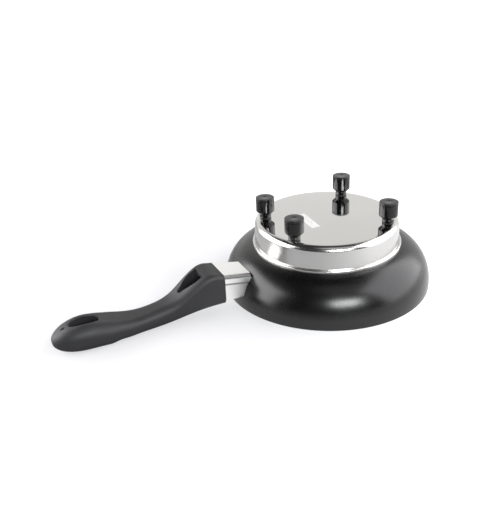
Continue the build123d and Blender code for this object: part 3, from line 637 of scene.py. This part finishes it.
def soften(body, times):
    bm = bmesh.new()
    bm.from_mesh(body.data)
    bmesh.ops.remove_doubles(bm, verts=bm.verts, dist=0.02 * mm)
    for _ in range(times):
        bmesh.ops.smooth_vert(bm, verts=bm.verts, factor=grip["strength"], use_axis_x=True,
                              use_axis_y=True, use_axis_z=True)
    bmesh.ops.recalc_face_normals(bm, faces=bm.faces)
    bm.to_mesh(body.data)
    bm.free()


def makeGrip():
    bm = bmesh.new()
    bm.from_mesh(nodes["grip"].data)
    bmesh.ops.remove_doubles(bm, verts=bm.verts, dist=1e-6)
    body = asObject(asMesh(bm, "gripBody"), "gripBody")
    remesh = body.modifiers.new("remesh", "REMESH")
    remesh.mode = "VOXEL"
    remesh.voxel_size = grip["voxel"] * mm
    cutAway(body, [])
    soften(body, grip["smooth"])
    cutAway(body, [windowPlug()])
    soften(body, 1)
    cutAway(body, [tipSlot()])
    reshade(body, 50)
    return body


dress(makeGrip(), finishes["grip_plastic"], ["grip"])
print("grip made")


# blank sticker on the base plate
sticker = {"from": (-19.5, 17.0), "to": (-21.4, -17.0), "width": 8.8, "thick": 0.1, "z": 66.2}


def makeSticker():
    s = sticker
    start, end = Vector(s["from"]), Vector(s["to"])
    run = end - start
    bm = bmesh.new()
    bmesh.ops.create_grid(bm, x_segments=1, y_segments=1, size=0.5)
    bmesh.ops.scale(bm, vec=(run.length * mm, s["width"] * mm, 1), verts=bm.verts)
    bmesh.ops.bevel(bm, geom=bm.verts[:], offset=0.8 * mm, offset_type="OFFSET", segments=4,
                    profile=0.5, affect="VERTICES", material=-1)
    bmesh.ops.rotate(bm, cent=(0, 0, 0), matrix=Matrix.Rotation(math.atan2(run.y, run.x), 3, "Z"), verts=bm.verts)
    middle = (start + end) / 2
    bmesh.ops.translate(bm, vec=point(middle.x, middle.y, s["z"]), verts=bm.verts)
    pushed = bmesh.ops.extrude_face_region(bm, geom=bm.faces[:])
    top = [v for v in pushed["geom"] if isinstance(v, bmesh.types.BMVert)]
    bmesh.ops.translate(bm, vec=point(0, 0, s["thick"]), verts=top)
    bmesh.ops.recalc_face_normals(bm, faces=bm.faces)
    return asObject(asMesh(bm, "baseSticker"), "baseSticker")


paper = makePlain("stickerPaper", (0.55, 0.55, 0.535), (0.68, 0.68, 0.66), (0.45, 0.55), 0, 330, 0.01)
blank = makeSticker()
blank.data.materials.append(paper)
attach(blank, "root")
print("sticker made")


# floor, light and camera
# the floor's glow and bounce values are painted light that fades the cast shadows and brightens the right side
studio = {"floor": (0.33, 0.33, 0.335), "glowColour": (0.985, 0.985, 1.0), "glowNear": 0.52, "glowFar": 1.1,
          "glowFrom": 0.25, "glowTo": 0.9, "bounceNear": 0.55, "bounceFar": 0.04,
          "bounceFrom": 0.125, "bounceTo": 0.17, "rightGlow": 0.6, "rightFrom": -0.10, "rightTo": 0.15,
          "backdrop": 0.94, "horizon": 1.12, "dark": 0.02, "shown": 1.0,
          "over": (-0.04, -0.40, 0.915), "overFrom": 0.92, "overGlow": 0.62}

softBoxes = {    # azimuth 0 is -Y, 90 is +X; degrees, metres, radiance
    "rightBox": {"azimuth": 67, "height": 30, "away": 1.35, "size": (1.9, 1.55), "level": 3.7,
                 "colour": (1.0, 0.985, 1.01)},
    "leftBox": {"azimuth": -120, "height": 18, "away": 1.35, "size": (1.65, 1.15), "level": 6.0,
                "colour": (1.0, 0.99, 1.01)},
    "spotBox": {"azimuth": -9, "height": 26, "away": 1.3, "size": (0.62, 0.34), "level": 21.5,
                "colour": (0.97, 1.0, 0.99)},
}


def ramped(tree, value, start, end, low, high):
    spread = tree.nodes.new("ShaderNodeMapRange")
    spread.interpolation_type = "SMOOTHSTEP"
    spread.inputs["From Min"].default_value = studio[start]
    spread.inputs["From Max"].default_value = studio[end]
    spread.inputs["To Min"].default_value = studio[low] if low else 0.0
    spread.inputs["To Max"].default_value = studio[high]
    tree.links.new(value, spread.inputs["Value"])
    return spread.outputs["Result"]


def glowFloor(finish, shader):
    # painted light: the floor glows, more strongly far from the pan, which fades the cast shadows for the camera;
    # the object sees a painted glow close to the pan instead, and the right side glows brighter
    tree = finish.node_tree
    place = tree.nodes.new("ShaderNodeTexCoord")
    away = tree.nodes.new("ShaderNodeVectorMath")
    away.operation = "LENGTH"
    tree.links.new(place.outputs["Object"], away.inputs[0])
    near = ramped(tree, away.outputs["Value"], "glowFrom", "glowTo", "glowNear", "glowFar")
    # painted glow close to the pan, seen by the object and in its reflections but not by the camera
    bounce = ramped(tree, away.outputs["Value"], "bounceFrom", "bounceTo", "bounceNear", "bounceFar")
    ray = tree.nodes.new("ShaderNodeLightPath")
    seen = tree.nodes.new("ShaderNodeMix")
    tree.links.new(ray.outputs["Is Camera Ray"], seen.inputs["Factor"])
    tree.links.new(bounce, seen.inputs["A"])
    tree.links.new(near, seen.inputs["B"])
    parts = tree.nodes.new("ShaderNodeSeparateXYZ")
    tree.links.new(place.outputs["Object"], parts.inputs["Vector"])
    right = ramped(tree, parts.outputs["X"], "rightFrom", "rightTo", None, "rightGlow")
    tree.links.new(sumOf(tree, seen.outputs["Result"], right), shader.inputs["Emission Strength"])


def makeFloor():
    bm = bmesh.new()
    bmesh.ops.create_grid(bm, x_segments=1, y_segments=1, size=6.0)
    floor = asObject(asMesh(bm, "floor"), "floor")
    finish, shader = newFinish("floorPaper", studio["floor"], 0.7, Specular_IOR_Level=0.2,
                               Emission_Color=(*studio["glowColour"], 1))
    varyRoughness(finish, shader, objectNoise(finish, 4, 2), 0.66, 0.74)
    glowFloor(finish, shader)
    floor.data.materials.append(finish)


def makeSoftBox(name, azimuth, height, away, size, level, colour):
    data = bpy.data.lights.new(name, "AREA")
    data.shape = "RECTANGLE"
    data.size, data.size_y = size
    data.energy = level * math.pi * size[0] * size[1]
    data.color = colour
    lamp = bpy.data.objects.new(name, data)
    scene.collection.objects.link(lamp)
    a, e = math.radians(azimuth), math.radians(height)
    place = Vector((math.sin(a) * math.cos(e), -math.cos(a) * math.cos(e), math.sin(e))) * away
    lamp.location = place + point(0, 0, 40)
    lamp.rotation_euler = (-place).to_track_quat("-Z", "Y").to_euler()
    lamp.visible_camera = False


def makeSky():
    # a pale backdrop behind the object and a darker room in front of it
    sky = bpy.data.worlds.new("studio")
    scene.world = sky
    sky.use_nodes = True
    tree = sky.node_tree
    backdrop = tree.nodes["Background"]
    where = tree.nodes.new("ShaderNodeTexCoord")
    facing = tree.nodes.new("ShaderNodeVectorMath")
    facing.operation = "DOT_PRODUCT"
    facing.inputs[1].default_value = Vector((0.45, 0.85, -0.28)).normalized()
    tree.links.new(where.outputs["Generated"], facing.inputs[0])
    ramp = tree.nodes.new("ShaderNodeValToRGB")
    ramp.color_ramp.interpolation = "EASE"
    dark, pale = studio["dark"], studio["backdrop"]
    ramp.color_ramp.elements[0].position = 0.1
    ramp.color_ramp.elements[0].color = (dark, dark, dark * 1.03, 1)
    ramp.color_ramp.elements[1].position = 0.70
    ramp.color_ramp.elements[1].color = (pale, pale * 0.995, pale * 0.97, 1)
    glow = ramp.color_ramp.elements.new(0.88)
    glow.color = (studio["horizon"],) * 3 + (1,)
    tree.links.new(facing.outputs["Value"], ramp.inputs["Fac"])
    above = tree.nodes.new("ShaderNodeVectorMath")
    above.operation = "DOT_PRODUCT"
    above.inputs[1].default_value = Vector(studio["over"]).normalized()
    tree.links.new(where.outputs["Generated"], above.inputs[0])
    over = tree.nodes.new("ShaderNodeMapRange")
    over.interpolation_type = "SMOOTHSTEP"
    over.inputs["From Min"].default_value = studio["overFrom"]
    over.inputs["To Max"].default_value = studio["overGlow"]
    tree.links.new(above.outputs["Value"], over.inputs["Value"])
    both = tree.nodes.new("ShaderNodeVectorMath")
    tree.links.new(ramp.outputs["Color"], both.inputs[0])
    tree.links.new(over.outputs["Result"], both.inputs[1])
    ray = tree.nodes.new("ShaderNodeLightPath")
    choose = tree.nodes.new("ShaderNodeMix")
    choose.data_type = "RGBA"
    tree.links.new(ray.outputs["Is Camera Ray"], choose.inputs[0])
    tree.links.new(both.outputs["Vector"], choose.inputs[6])
    choose.inputs[7].default_value = (studio["shown"],) * 3 + (1,)
    tree.links.new(choose.outputs[2], backdrop.inputs["Color"])


makeFloor()
for name, box in softBoxes.items():
    makeSoftBox(name, **box)
makeSky()

view = {"place": (-323.48, -525.077, 336.405), "right": (0.90507, -0.42281, -0.04558),
        "up": (0.22772, 0.39136, 0.89162), "forward": (0.35915, 0.81736, -0.45049), "lens": 48.7675}


def makeCamera():
    data = bpy.data.cameras.new("photoView")
    data.lens = view["lens"]
    data.sensor_width = 36
    data.sensor_fit = "AUTO"
    data.clip_start, data.clip_end = 0.01, 50
    camera = bpy.data.objects.new("photoView", data)
    scene.collection.objects.link(camera)
    right, up, back = Vector(view["right"]), Vector(view["up"]), -Vector(view["forward"])
    turn = Matrix((right, up, back)).transposed().to_4x4()
    camera.matrix_world = Matrix.Translation(point(*view["place"])) @ turn
    scene.camera = camera


makeCamera()
scene.view_settings.view_transform = "Standard"
print("stage made")
